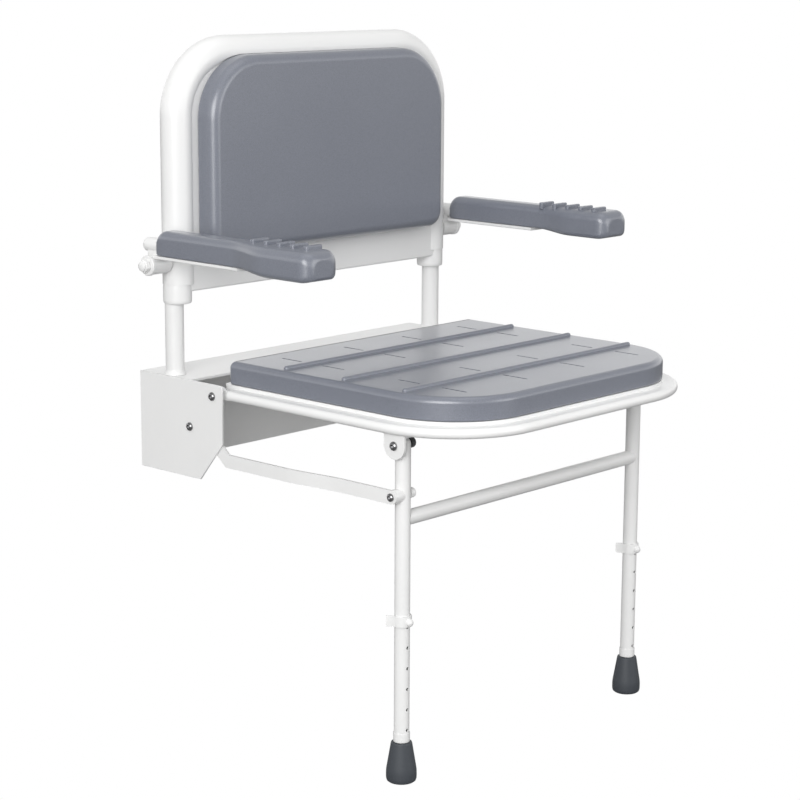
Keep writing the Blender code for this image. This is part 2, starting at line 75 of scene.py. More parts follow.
def makeMottleGroup():
    # slow unevenness of a moulded or sprayed surface, and a fine tooth on top of it
    group = bpy.data.node_groups.new("surfaceMottle", "ShaderNodeTree")
    group.interface.new_socket("Vector", in_out="INPUT", socket_type="NodeSocketVector")
    for name, value in (("Broad Scale", 8.0), ("Fine Scale", 900.0), ("Fine Share", 0.5)):
        socket = group.interface.new_socket(name, in_out="INPUT", socket_type="NodeSocketFloat")
        socket.default_value = value
    group.interface.new_socket("Mottle", in_out="OUTPUT", socket_type="NodeSocketFloat")
    group.interface.new_socket("Height", in_out="OUTPUT", socket_type="NodeSocketFloat")
    entry, leave = nodeIn(group, "NodeGroupInput"), nodeIn(group, "NodeGroupOutput")
    broad = nodeIn(group, "ShaderNodeTexNoise")
    broad.inputs["Detail"].default_value = 3.0
    fine = nodeIn(group, "ShaderNodeTexNoise")
    fine.inputs["Detail"].default_value = 4.0
    mix = nodeIn(group, "ShaderNodeMix", data_type="FLOAT")
    link = group.links.new
    for noise, scale in ((broad, "Broad Scale"), (fine, "Fine Scale")):
        link(entry.outputs["Vector"], noise.inputs["Vector"])
        link(entry.outputs[scale], noise.inputs["Scale"])
    link(entry.outputs["Fine Share"], mix.inputs["Factor"])
    link(broad.outputs["Fac"], mix.inputs["A"])
    link(fine.outputs["Fac"], mix.inputs["B"])
    link(broad.outputs["Fac"], leave.inputs["Mottle"])
    link(mix.outputs["Result"], leave.inputs["Height"])
    return group


# shade sets how strongly the painted shade darkens the grain's valleys
grain = {"warpScale": 420.0, "warpReach": 0.0008, "valley": 0.28, "depth": 0.0002, "shade": 0.25}


def makeGrainGroup():
    # pebbled skin of self-skinned foam: rounded cells with thin valleys, softened by noise; one output is a
    # mask of painted shade that darkens the colour in the valleys
    group = bpy.data.node_groups.new("pebbledSkin", "ShaderNodeTree")
    group.interface.new_socket("Vector", in_out="INPUT", socket_type="NodeSocketVector")
    size = group.interface.new_socket("Cells Per Metre", in_out="INPUT", socket_type="NodeSocketFloat")
    size.default_value = 900.0
    group.interface.new_socket("Height", in_out="OUTPUT", socket_type="NodeSocketFloat")
    group.interface.new_socket("Valley Shade", in_out="OUTPUT", socket_type="NodeSocketFloat")
    entry, leave = nodeIn(group, "NodeGroupInput"), nodeIn(group, "NodeGroupOutput")
    warp = nodeIn(group, "ShaderNodeTexNoise")
    warp.inputs["Scale"].default_value = grain["warpScale"]
    cells = nodeIn(group, "ShaderNodeTexVoronoi", feature="DISTANCE_TO_EDGE")
    push = nodeIn(group, "ShaderNodeVectorMath", operation="MULTIPLY_ADD")
    push.inputs[1].default_value = (grain["warpReach"],) * 3
    ramp = nodeIn(group, "ShaderNodeMapRange", interpolation_type="SMOOTHSTEP")
    ramp.inputs["From Max"].default_value = grain["valley"]
    link = group.links.new
    link(entry.outputs["Vector"], warp.inputs["Vector"])
    link(warp.outputs["Color"], push.inputs[0])
    link(entry.outputs["Vector"], push.inputs[2])
    link(push.outputs["Vector"], cells.inputs["Vector"])
    link(entry.outputs["Cells Per Metre"], cells.inputs["Scale"])
    link(cells.outputs["Distance"], ramp.inputs["Value"])
    link(ramp.outputs["Result"], leave.inputs["Height"])
    link(ramp.outputs["Result"], leave.inputs["Valley Shade"])
    return group


mottleGroup = makeMottleGroup()
grainGroup = makeGrainGroup()


def makeFinish(name, look):
    material = bpy.data.materials.new(name)
    material.use_nodes = True
    tree = material.node_tree
    shader = tree.nodes["Principled BSDF"]
    shader.inputs["Metallic"].default_value = look.get("metal", 0.0)
    shader.inputs["Coat Weight"].default_value = look.get("coat", 0.0)
    shader.inputs["Coat Roughness"].default_value = look.get("coatRough", 0.1)
    shader.inputs["Specular IOR Level"].default_value = look.get("specular", 0.5)
    place = nodeIn(tree, "ShaderNodeTexCoord")
    mottle = nodeIn(tree, "ShaderNodeGroup", node_tree=mottleGroup)
    mottle.inputs["Broad Scale"].default_value = look["broad"]
    mottle.inputs["Fine Scale"].default_value = look["fine"]
    mottle.inputs["Fine Share"].default_value = look.get("fineShare", 0.6)
    colours = nodeIn(tree, "ShaderNodeMix", data_type="RGBA")
    colours.inputs[6].default_value = (*look["dark"], 1.0)
    colours.inputs[7].default_value = (*look["light"], 1.0)
    rough = nodeIn(tree, "ShaderNodeMapRange")
    setRange(rough, (0.15, 0.85), look["rough"])  # noise seldom leaves this range
    bump = nodeIn(tree, "ShaderNodeBump")
    bump.inputs["Strength"].default_value = look["bump"]
    bump.inputs["Distance"].default_value = look["depth"]
    link = tree.links.new
    link(place.outputs["Object"], mottle.inputs["Vector"])
    link(mottle.outputs["Mottle"], colours.inputs[0])
    link(mottle.outputs["Mottle"], rough.inputs["Value"])
    link(rough.outputs["Result"], shader.inputs["Roughness"])
    link(mottle.outputs["Height"], bump.inputs["Height"])
    if look.get("cells"):
        pebbles = nodeIn(tree, "ShaderNodeGroup", node_tree=grainGroup)
        pebbles.inputs["Cells Per Metre"].default_value = look["cells"]
        skin = nodeIn(tree, "ShaderNodeBump")
        skin.inputs["Strength"].default_value = look["cellBump"]
        skin.inputs["Distance"].default_value = grain["depth"]
        # painted shade: the skin colour is darkened in the grain's valleys
        valley = nodeIn(tree, "ShaderNodeMix", data_type="RGBA", blend_type="MULTIPLY")
        valley.inputs[0].default_value = grain["shade"]
        link(place.outputs["Object"], pebbles.inputs["Vector"])
        link(pebbles.outputs["Height"], skin.inputs["Height"])
        link(bump.outputs["Normal"], skin.inputs["Normal"])
        link(skin.outputs["Normal"], shader.inputs["Normal"])
        link(colours.outputs[2], valley.inputs[6])
        link(pebbles.outputs["Valley Shade"], valley.inputs[7])
        link(valley.outputs[2], shader.inputs["Base Color"])
    else:
        link(bump.outputs["Normal"], shader.inputs["Normal"])
        link(colours.outputs[2], shader.inputs["Base Color"])
    return material


finishes = {
    "powderCoat": {"dark": (0.80, 0.80, 0.795), "light": (0.86, 0.86, 0.855), "rough": (0.30, 0.38),
                   "broad": 14.0, "fine": 1400.0, "bump": 0.10, "depth": 0.0001, "coat": 0.15,
                   "coatRough": 0.15},
    "whiteMoulding": {"dark": (0.82, 0.82, 0.815), "light": (0.87, 0.87, 0.865), "rough": (0.29, 0.36),
                      "broad": 6.0, "fine": 500.0, "bump": 0.05, "depth": 0.0001, "coat": 0.2,
                      "coatRough": 0.12},
    "padSkin": {"dark": (0.205, 0.219, 0.262), "light": (0.218, 0.233, 0.277), "rough": (0.29, 0.37),
                "broad": 7.0, "fine": 700.0, "fineShare": 0.4, "bump": 0.12, "depth": 0.0002, "cells": 850.0,
                "cellBump": 0.06, "specular": 0.6, "coat": 0.75, "coatRough": 0.29},
    "ferruleRubber": {"dark": (0.040, 0.046, 0.055), "light": (0.055, 0.062, 0.072), "rough": (0.48, 0.60),
                      "broad": 30.0, "fine": 1500.0, "bump": 0.25, "depth": 0.0001},
    "plating": {"dark": (0.22, 0.22, 0.225), "light": (0.30, 0.30, 0.305), "rough": (0.16, 0.26),
                "metal": 1.0, "broad": 60.0, "fine": 2500.0, "bump": 0.06, "depth": 0.0001},
    "zincSteel": {"dark": (0.50, 0.50, 0.51), "light": (0.62, 0.62, 0.63), "rough": (0.29, 0.40),
                  "metal": 1.0, "broad": 70.0, "fine": 2200.0, "bump": 0.10, "depth": 0.0001},
    # painted shade: this steel is darkened for the shade inside the outer leg tubes
    "shadeDarkTubeSteel": {"dark": (0.10, 0.10, 0.105), "light": (0.15, 0.15, 0.155), "rough": (0.35, 0.5),
                  "metal": 0.8, "broad": 50.0, "fine": 1800.0, "bump": 0.12, "depth": 0.0001},
    "blackMoulding": {"dark": (0.050, 0.050, 0.052), "light": (0.066, 0.066, 0.069), "rough": (0.32, 0.42),
                      "broad": 40.0, "fine": 1800.0, "bump": 0.10, "depth": 0.0001},
}
finish = {name: makeFinish(name, look) for name, look in finishes.items()}
slots = {"powderCoat": "white_powder_coat", "whiteMoulding": "white_plastic", "padSkin": "grey_pad",
         "ferruleRubber": "grey_rubber", "plating": "chrome_steel", "zincSteel": "bright_steel",
         "blackMoulding": "black_plastic"}
slotFinish = {slotName: finish[name] for name, slotName in slots.items()}

for part in frame["record"]["subparts"]:
    node = frame["nodes"][part["node"]]
    node.data.materials.clear()
    node.data.materials.append(slotFinish[part["material_slot"]])
for label in ("left", "right"):  # the inner leg tubes are bare steel, coloured darker than the zinc hardware as painted shade, for they sit in shade inside the outer tubes
    frame["nodes"][f"leg_inner_{label}"].data.materials[0] = finish["shadeDarkTubeSteel"]


def addPiece(name, shape, look, body, nodes=(), sharp=38):
    for vert in shape.verts:
        vert.co.z += floorZ
    mesh = bpy.data.meshes.new(name)
    shape.to_mesh(mesh)
    shape.free()
    mesh.materials.append(finish[look])
    mesh.shade_smooth()
    mesh.set_sharp_from_angle(angle=math.radians(sharp))
    piece = bpy.data.objects.new(name, mesh)
    bpy.context.scene.collection.objects.link(piece)
    weights = piece.modifiers.new("flatsStayFlat", "WEIGHTED_NORMAL")
    weights.keep_sharp = True
    weights.weight = 80
    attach(piece, body)
    if nodes:
        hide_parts(*nodes)
    return piece


def combine(shape, tool, operation="DIFFERENCE"):
    # one exact Boolean, worked out at once on two short-lived objects
    pair = []
    for item in (shape, tool):
        mesh = bpy.data.meshes.new("work")
        item.to_mesh(mesh)
        item.free()
        pair.append(bpy.data.objects.new("work", mesh))
        bpy.context.scene.collection.objects.link(pair[-1])
    modifier = pair[0].modifiers.new("work", "BOOLEAN")
    modifier.operation, modifier.object = operation, pair[1]
    bpy.context.view_layer.update()
    solved = pair[0].evaluated_get(bpy.context.evaluated_depsgraph_get())
    result = bmesh.new()
    result.from_mesh(solved.to_mesh())
    solved.to_mesh_clear()
    for item in pair:
        mesh = item.data
        bpy.data.objects.remove(item)
        bpy.data.meshes.remove(mesh)
    return result


def onPlane(axis, a, b, level):
    return Vector({"x": (level, a, b), "y": (a, level, b), "z": (a, b, level)}[axis])


def outward(shape, merge=0.000001):
    bmesh.ops.remove_doubles(shape, verts=shape.verts, dist=merge)
    bmesh.ops.recalc_face_normals(shape, faces=shape.faces)
    return shape


def turned(profile, axis, centre, steps=48, closed=None):
    # profile of (radius, level), spun a full turn; one off the axis is closed into a ring
    shape = bmesh.new()
    line = [shape.verts.new(onPlane(axis, centre[0] + radius, centre[1], level)) for radius, level in profile]
    ring = profile[0][0] > 0 if closed is None else closed
    pairs = list(zip(line, line[1:])) + ([(line[-1], line[0])] if ring else [])
    edges = [shape.edges.new(pair) for pair in pairs]
    bmesh.ops.spin(shape, geom=line + edges, cent=onPlane(axis, *centre, 0), axis=onPlane(axis, 0, 0, 1),
                   angle=2 * math.pi, steps=steps, use_merge=True)
    return outward(shape)


def turnedAcross(profile, side, pin, steps, closed=None):
    # a profile along X, drawn for the right side and flipped for the left
    return turned([(radius, side * level) for radius, level in profile], "x", pin, steps, closed)


def rod(axis, centre, radius, low, high, steps=32):
    return turned([(0, low), (radius, low), (radius, high), (0, high)], axis, centre, steps)


def drill(shape, side, pin, radius, outer, inner):
    # bore along X on one side, cut from outer to inner
    return combine(shape, rod("x", pin, radius, side * outer, side * inner))


def span(side, first, second):
    return sorted((side * first, side * second))


def slab(outline, axis, low, high, rollHigh=0.0, rollLow=0.0, segments=3):
    # flat outline pushed out into a plate, its two rims rolled over
    shape = bmesh.new()
    base = shape.faces.new([shape.verts.new(onPlane(axis, a, b, low)) for a, b in outline])
    grown = bmesh.ops.extrude_face_region(shape, geom=[base])["geom"]
    bmesh.ops.translate(shape, vec=onPlane(axis, 0, 0, high - low),
                        verts=[item for item in grown if isinstance(item, bmesh.types.BMVert)])
    outward(shape)
    index = "xyz".index(axis)
    for level, roll in ((high, rollHigh), (low, rollLow)):
        if roll > 0:
            rim = [edge for edge in shape.edges
                   if all(abs(vert.co[index] - level) < 1e-6 for vert in edge.verts)]
            bmesh.ops.bevel(shape, geom=rim, offset=roll, offset_type="OFFSET", affect="EDGES",
                            segments=segments, profile=0.5, material=-1, clamp_overlap=False)
    return shape


def arc(centre, radius, start, stop, steps):
    return [(centre[0] + radius * math.cos(math.radians(start + (stop - start) * step / steps)),
             centre[1] + radius * math.sin(math.radians(start + (stop - start) * step / steps)))
            for step in range(steps + 1)]


def roundedBox(lowA, highA, lowB, highB, radii, steps=12):
    corners = [((lowA, lowB), (1, 1), 180), ((highA, lowB), (-1, 1), 270),
               ((highA, highB), (-1, -1), 0), ((lowA, highB), (1, -1), 90)]
    outline = []
    for (corner, inward, start), radius in zip(corners, radii):
        centre = (corner[0] + inward[0] * radius, corner[1] + inward[1] * radius)
        outline += arc(centre, radius, start, start + 90, steps) if radius > 0 else [corner]
    return outline


def hull(circles, steps=64):
    shape = bmesh.new()
    for centre, radius in circles:
        for a, b in arc(centre, radius, 0, 360, steps)[:-1]:
            shape.verts.new((a, b, 0))
    bmesh.ops.remove_doubles(shape, verts=shape.verts, dist=1e-7)
    points = sorted((vert.co.x, vert.co.y) for vert in shape.verts)
    shape.free()

    def half(ordered):
        chain = []
        for point in ordered:
            while len(chain) > 1 and ((chain[-1][0] - chain[-2][0]) * (point[1] - chain[-2][1])
                                      - (chain[-1][1] - chain[-2][1]) * (point[0] - chain[-2][0])) <= 1e-12:
                chain.pop()
            chain.append(point)
        return chain[:-1]

    return half(points) + half(points[::-1])


def ease(value, start, stop):
    share = min(max((value - start) / (stop - start), 0.0), 1.0)
    return share * share * (3 - 2 * share)


def loft(rings):
    shape = bmesh.new()
    rows = [[shape.verts.new(point) for point in ring] for ring in rings]
    for lower, upper in zip(rows, rows[1:]):
        for index in range(len(lower)):
            after = (index + 1) % len(lower)
            shape.faces.new((lower[index], lower[after], upper[after], upper[index]))
    for ring in (rows[0], rows[-1]):
        shape.faces.new(ring)
    return outward(shape)


def hexBolt(name, side, pin, inner, shankEnd, body, node, radius=0.004, head=0.0055, rise=0.0033):
    # domed socket-head screw along X, its hexagon sunk in the head
    crown = ((1, 0), (1, 0.22), (0.95, 0.45), (0.82, 0.72), (0.60, 0.93), (0.52, 1), (0, 1))
    profile = [(0, shankEnd), (radius, shankEnd), (radius, inner)]
    profile += [(head * across, inner + rise * up) for across, up in crown]
    shape = turnedAcross(profile, side, pin, 40)
    flat, mouth, floor = head * 0.46, inner + rise + 0.001, inner + rise * 0.3
    shape = combine(shape, turnedAcross([(0, mouth), (flat, mouth), (flat, floor), (0, floor)], side, pin, 6))
    return addPiece(name, shape, "plating", body, [node])


pins = {"seat": (-0.1374, 0.4379), "leg": (-0.433, 0.4186), "stayFront": (-0.433, 0.3575),
        "stayRear": (-0.1374, 0.3768), "stop": (-0.095, 0.393), "arm": (-0.055, 0.598)}
bores = {"screw": 0.0043, "ear": 0.0068, "stayFront": 0.0033, "stayRear": 0.0032}
# how far each bore along X runs from the middle of the seat, its outer end first
runs = {"cheek": (0.262, 0.250), "stud": (0.2567, 0.250), "post": (0.28, 0.20), "shell": (0.28, 0.2245),
        "ear": (0.256, 0.230), "legTab": (0.245, 0.2345), "legTube": (0.24, 0.21),
        "stayFront": (0.25, 0.24), "stayRear": (0.256, 0.248)}

print("stage: wall bracket")
bracket = {"outer": 0.2575, "sheet": 0.003, "low": 0.327, "top": 0.453, "chamferFoot": (-0.113, 0.327),
           "chamferTop": (-0.155, 0.3785), "corner": 0.004, "edge": 0.0006, "screwFace": 0.2578,
           "screwEnd": 0.2345}
post = {"x": 0.2433, "y": -0.0525, "radius": 0.012, "wall": 0.0018, "foot": 0.4533, "top": 0.655,
        "weld": ((0.0, 0.4605), (0.0005, 0.4575), (0.0013, 0.4553), (0.0020, 0.4533))}

for side, label in sides:
    cornerCentre = (bracket["chamferTop"][0] + bracket["corner"], bracket["top"] - bracket["corner"])
    outline = [(0, bracket["top"]), (0, bracket["low"]), bracket["chamferFoot"], bracket["chamferTop"]]
    outline += arc(cornerCentre, bracket["corner"], 180, 90, 10)
    cheek = slab(outline, "x", *span(side, bracket["outer"], bracket["outer"] - bracket["sheet"]),
                 bracket["edge"], bracket["edge"], 2)
    for pin in (pins["seat"], pins["stop"]):
        cheek = drill(cheek, side, pin, bores["screw"], *runs["cheek"])
    if side < 0:  # the stay's stud stops short of the outside
        cheek = drill(cheek, side, pins["stayRear"], bores["stayRear"], *runs["stud"])
    addPiece(f"cheekPlate_{label}", cheek, "powderCoat", "wall_frame", [f"side_plate_{label}"])
    for name, pin, node in (("seatHingeScrew", pins["seat"], "seat_hinge_bolt"),
                            ("seatStopScrew", pins["stop"], "seat_stop_bolt")):
        hexBolt(f"{name}_{label}", side, pin, bracket["screwFace"], bracket["screwEnd"], "wall_frame",
                f"{node}_{label}")

    bead = [(post["radius"] + swell, level) for swell, level in post["weld"]]
    bead += [(post["radius"] - post["wall"], post["foot"]), (post["radius"] - post["wall"], post["top"]),
             (post["radius"], post["top"])]
    shape = turned(bead, "z", (side * post["x"], post["y"]), 56)
    shape = drill(shape, side, pins["arm"], bores["screw"], *runs["post"])
    addPiece(f"backPost_{label}", shape, "powderCoat", "wall_frame", [f"post_{label}"])

print("stage: back")
back = {"halfWidth": 0.2376, "y": -0.0548, "radius": 0.0201, "top": 0.880, "corner": 0.100, "start": 0.570,
        "straight": 0.68, "steps": 48}
panel = {"halfWidth": 0.236, "low": 0.560, "top": 0.862, "corners": (0.008, 0.008, 0.078, 0.078),
         "front": -0.0700, "back": -0.047, "edge": 0.003}
recess = {"halfWidth": 0.2173, "low": 0.6077, "top": 0.8563, "corners": (0.018, 0.018, 0.078, 0.078),
          "cutFrom": -0.13}
socket = {"x": 0.2393, "y": -0.0546, "cutLow": 0.5, "cutPast": 0.001,
          "profile": ((0, 0.545), (0.0150, 0.545), (0.0172, 0.5456), (0.0181, 0.5475), (0.0183, 0.550),
                      (0.0183, 0.566), (0.0176, 0.572), (0.0153, 0.580), (0, 0.580))}

# the rim's centre line, up one side, over the top and down the other
bend = back["corner"] - back["radius"]
bendLevel = back["top"] - back["corner"]
trail = [(-back["halfWidth"], back["start"]), (-back["halfWidth"], back["straight"])]
trail += arc((-back["halfWidth"] + bend, bendLevel), bend, 180, 90, 28)
trail += arc((back["halfWidth"] - bend, bendLevel), bend, 90, 0, 28)
trail += [(back["halfWidth"], back["straight"]), (back["halfWidth"], back["start"])]
rings = []
for index, (x, z) in enumerate(trail):
    before, after = trail[max(index - 1, 0)], trail[min(index + 1, len(trail) - 1)]
    heading = Vector((after[0] - before[0], after[1] - before[1])).normalized()
    rings.append([])
    for step in range(back["steps"]):
        angle = 2 * math.pi * step / back["steps"]
        rings[-1].append((x - back["radius"] * math.cos(angle) * heading.y,
                          back["y"] + back["radius"] * math.sin(angle),
                          z + back["radius"] * math.cos(angle) * heading.x))
shell = loft(rings)
outline = roundedBox(-panel["halfWidth"], panel["halfWidth"], panel["low"], panel["top"],
                     panel["corners"], 16)
shell = combine(shell, slab(outline, "y", panel["front"], panel["back"], panel["edge"], panel["edge"], 4),
                "UNION")
for side in (-1, 1):
    shell = combine(shell, turned(socket["profile"], "z", (side * socket["x"], socket["y"]), 56), "UNION")
outline = roundedBox(-recess["halfWidth"], recess["halfWidth"], recess["low"], recess["top"],
                     recess["corners"], 16)
shell = combine(shell, slab(outline, "y", recess["cutFrom"], panel["front"]))
for side in (-1, 1):
    shell = combine(shell, rod("z", (side * post["x"], post["y"]), post["radius"] + gap,
                               socket["cutLow"], post["top"] + socket["cutPast"], 56))
    shell = drill(shell, side, pins["arm"], bores["screw"], *runs["shell"])
addPiece("backShell", shell, "whiteMoulding", "wall_frame", ["back_shell"], 30)

cushion = {"halfWidth": 0.217, "low": 0.608, "top": 0.856, "corners": (0.022, 0.022, 0.080, 0.080),
           "front": -0.1015, "back": -0.0703, "roll": 0.0125, "backRoll": 0.004}
outline = roundedBox(-cushion["halfWidth"], cushion["halfWidth"], cushion["low"], cushion["top"],
                     cushion["corners"], 24)
shape = slab(outline, "y", cushion["front"], cushion["back"], cushion["backRoll"], cushion["roll"], 10)
backPad = addPiece("backCushion", shape, "padSkin", "wall_frame", ["back_pad"], 60)

print("stage: seat")
seat = {"rimX": 0.250, "rimRear": -0.150, "rimFront": -0.546, "rimCorner": 0.126, "rimRearCorner": 0.0068,
        "rimLow": 0.433, "rimTop": 0.4455, "rollTop": 0.0060, "rollLow": 0.0058,
        "padX": 0.230, "padRear": -0.138, "padFront": -0.527, "padCorner": 0.107, "padLow": 0.450,
        "padTop": 0.479, "plinthLow": 0.004, "plinthTop": 0.4497, "plinthRear": -0.130, "rearCorner": 0.006,
        "wall": 0.016, "rearWall": 0.012, "roof": 0.0045, "cutPast": 0.01}
ear = {"radius": 0.0106, "outer": 0.250, "inner": 0.240, "edge": 0.0015,
       "neckRear": -0.158, "neckInset": 0.0008, "neckOuter": 0.2475, "neckInner": 0.2401,
       "lobeInner": 0.2402, "lobeRadius": 0.0104, "lobeTip": 0.005, "lobeReach": 0.0123}

outline = roundedBox(-seat["rimX"], seat["rimX"], seat["rimFront"], seat["rimRear"],
                     (seat["rimCorner"], seat["rimCorner"], seat["rimRearCorner"], seat["rimRearCorner"]), 28)
base = slab(outline, "z", seat["rimLow"], seat["rimTop"], seat["rollTop"], seat["rollLow"], 7)
outline = roundedBox(-seat["padX"], seat["padX"], seat["padFront"], seat["plinthRear"],
                     (seat["padCorner"], seat["padCorner"], seat["rearCorner"], seat["rearCorner"]), 28)
base = combine(base, slab(outline, "z", seat["rimLow"] + seat["plinthLow"], seat["plinthTop"]), "UNION")
hollowX, hollowCorner = seat["rimX"] - seat["wall"], seat["rimCorner"] - seat["wall"]
outline = roundedBox(-hollowX, hollowX, seat["rimFront"] + seat["wall"], seat["rimRear"] - seat["rearWall"],
                     (hollowCorner, hollowCorner, seat["rearCorner"], seat["rearCorner"]), 20)
base = combine(base, slab(outline, "z", seat["rimLow"] - seat["cutPast"], seat["plinthTop"] - seat["roof"]))
for side in (-1, 1):  # hinge ear, its neck to the rim, and the lobe that meets the stop
    disc = arc(pins["seat"], ear["radius"], 0, 360, 64)[:-1]
    base = combine(base, slab(disc, "x", *span(side, ear["outer"], ear["inner"]), ear["edge"], ear["edge"]),
                   "UNION")
    neck = roundedBox(ear["neckRear"], pins["seat"][0], seat["rimLow"] + ear["neckInset"],
                      seat["rimTop"] - ear["neckInset"], (0, 0, 0, 0))
    base = combine(base, slab(neck, "x", *span(side, ear["neckOuter"], ear["neckInner"])), "UNION")
    lobe = hull([(pins["seat"], ear["lobeRadius"]),
                 ((pins["stop"][0] - ear["lobeReach"], pins["stop"][1]), ear["lobeTip"])])
    base = combine(base, slab(lobe, "x", *span(side, ear["neckOuter"], ear["lobeInner"])), "UNION")
for side in (-1, 1):
    base = drill(base, side, pins["seat"], bores["ear"], *runs["ear"])
addPiece("seatBase", base, "whiteMoulding", "seat", ["seat_base"], 35)

pad = {"roll": 0.0080, "lowRoll": 0.0025, "ribs": (-0.228, -0.3275, -0.427), "ribReach": 0.219,
       "ribHalf": 0.0036, "ribSink": 0.003, "ribRise": 0.0042, "ribRoll": 0.0031,
       "grooveX": (-0.1674, -0.0558, 0.0558, 0.1674), "grooveHalf": 0.0015, "grooveDepth": 0.0060,
       "grooveRows": ((-0.2065, -0.1707), (-0.2804, -0.2428), (-0.4067, -0.3715), (-0.4809, -0.4423)),
       "endRound": 0.98, "cutPast": 0.002}
outline = roundedBox(-seat["padX"], seat["padX"], seat["padFront"], seat["padRear"],
                     (seat["padCorner"], seat["padCorner"], seat["rearCorner"], seat["rearCorner"]), 32)
shape = slab(outline, "z", seat["padLow"], seat["padTop"], pad["roll"], pad["lowRoll"], 9)
for y in pad["ribs"]:
    rib = roundedBox(-pad["ribReach"], pad["ribReach"], y - pad["ribHalf"], y + pad["ribHalf"],
                     (pad["ribHalf"] * pad["endRound"],) * 4, 8)
    shape = combine(shape, slab(rib, "z", seat["padTop"] - pad["ribSink"], seat["padTop"] + pad["ribRise"],
                                pad["ribRoll"], 0, 6), "UNION")
for x in pad["grooveX"]:
    for low, high in pad["grooveRows"]:
        groove = roundedBox(x - pad["grooveHalf"], x + pad["grooveHalf"], low, high,
                            (pad["grooveHalf"] * pad["endRound"],) * 4, 6)
        shape = combine(shape, slab(groove, "z", seat["padTop"] - pad["grooveDepth"],
                                    seat["padTop"] + pad["cutPast"]))
seatPad = addPiece("seatCushion", shape, "padSkin", "seat", ["seat_pad"], 50)

legHinge = {"half": 0.0165, "outer": 0.241, "inner": 0.2375, "footOuter": 0.2385, "footInner": 0.211,
            "sheet": 0.003, "edge": 0.0006, "screwFace": 0.2413, "screwEnd": 0.2105,
            "cap": ((0.0043, 0.2152), (0.0065, 0.2152), (0.0065, 0.2100), (0.0060, 0.2088), (0.0048, 0.2082),
                    (0, 0.2080), (0, 0.2094), (0.0043, 0.2094))}
for side, label in sides:
    roof = seat["rimLow"] - gap
    front, rear = pins["leg"][0] - legHinge["half"], pins["leg"][0] + legHinge["half"]
    tab = [(front, roof)] + arc(pins["leg"], legHinge["half"], 180, 360, 32) + [(rear, roof)]
    shape = slab(tab, "x", *span(side, legHinge["outer"], legHinge["inner"]),
                 legHinge["edge"], legHinge["edge"], 2)
    foot = roundedBox(*span(side, legHinge["footOuter"], legHinge["footInner"]), front, rear, (0, 0, 0, 0))
    shape = combine(shape, slab(foot, "z", roof - legHinge["sheet"], roof), "UNION")
    shape = drill(shape, side, pins["leg"], bores["screw"], *runs["legTab"])
    addPiece(f"legBracket_{label}", shape, "powderCoat", "seat", [f"leg_bracket_{label}"])
    hexBolt(f"legHingeScrew_{label}", side, pins["leg"], legHinge["screwFace"], legHinge["screwEnd"], "seat",
            f"leg_hinge_bolt_{label}")
    addPiece(f"legHingeCap_{label}", turnedAcross(legHinge["cap"], side, pins["leg"], 40, True),
             "blackMoulding", "seat", [f"leg_hinge_nut_{label}"])

print("stage: legs")
leg = {"x": 0.225, "y": -0.433, "radius": 0.0094, "bore": 0.0079, "low": 0.0565, "lowEdge": (0.0006, 0.0008),
       "domeRise": 0.98, "boreTop": 0.004, "holePitch": 0.0259, "firstHole": 0.1959, "holes": 6,
       "holeRadius": 0.0022, "holeDepth": 0.012}
endRing = ((0.0098, 0.0510), (0.0101, 0.0516), (0.0102, 0.0530), (0.0102, 0.0618), (0.0100, 0.0624),
           (0.0097, 0.0625), (0.0097, 0.0562), (0.0079, 0.0562), (0.0079, 0.0509))
ferrule = ((0, 0), (0.0130, 0), (0.0160, 0.0006), (0.0178, 0.0020), (0.0185, 0.0042), (0.0187, 0.0070),
           (0.0187, 0.0120), (0.0185, 0.0155), (0.0180, 0.0190), (0.0172, 0.0235), (0.0130, 0.0488),
           (0.0126, 0.0499), (0.0119, 0.0505), (0.0082, 0.0505), (0.0079, 0.0502), (0.0079, 0.0120),
           (0, 0.0120))
clip = {"low": 0.1964, "top": 0.2096, "pinZ": 0.2020, "skin": 0.0019, "edge": 0.0004, "endRight": 0.0040,
        "tab": ((0.0019, 0.005), (0.0062, 0.0115), (0.0046, 0.0125), (0, 0.0065)),
        "knob": ((0, -0.0162), (0.0016, -0.0161), (0.0031, -0.0155), (0.0043, -0.0143), (0.0049, -0.0128),
                 (0.0050, -0.0112), (0.0050, -0.0106), (0.0018, -0.0106), (0.0018, -0.0083), (0, -0.0083))}
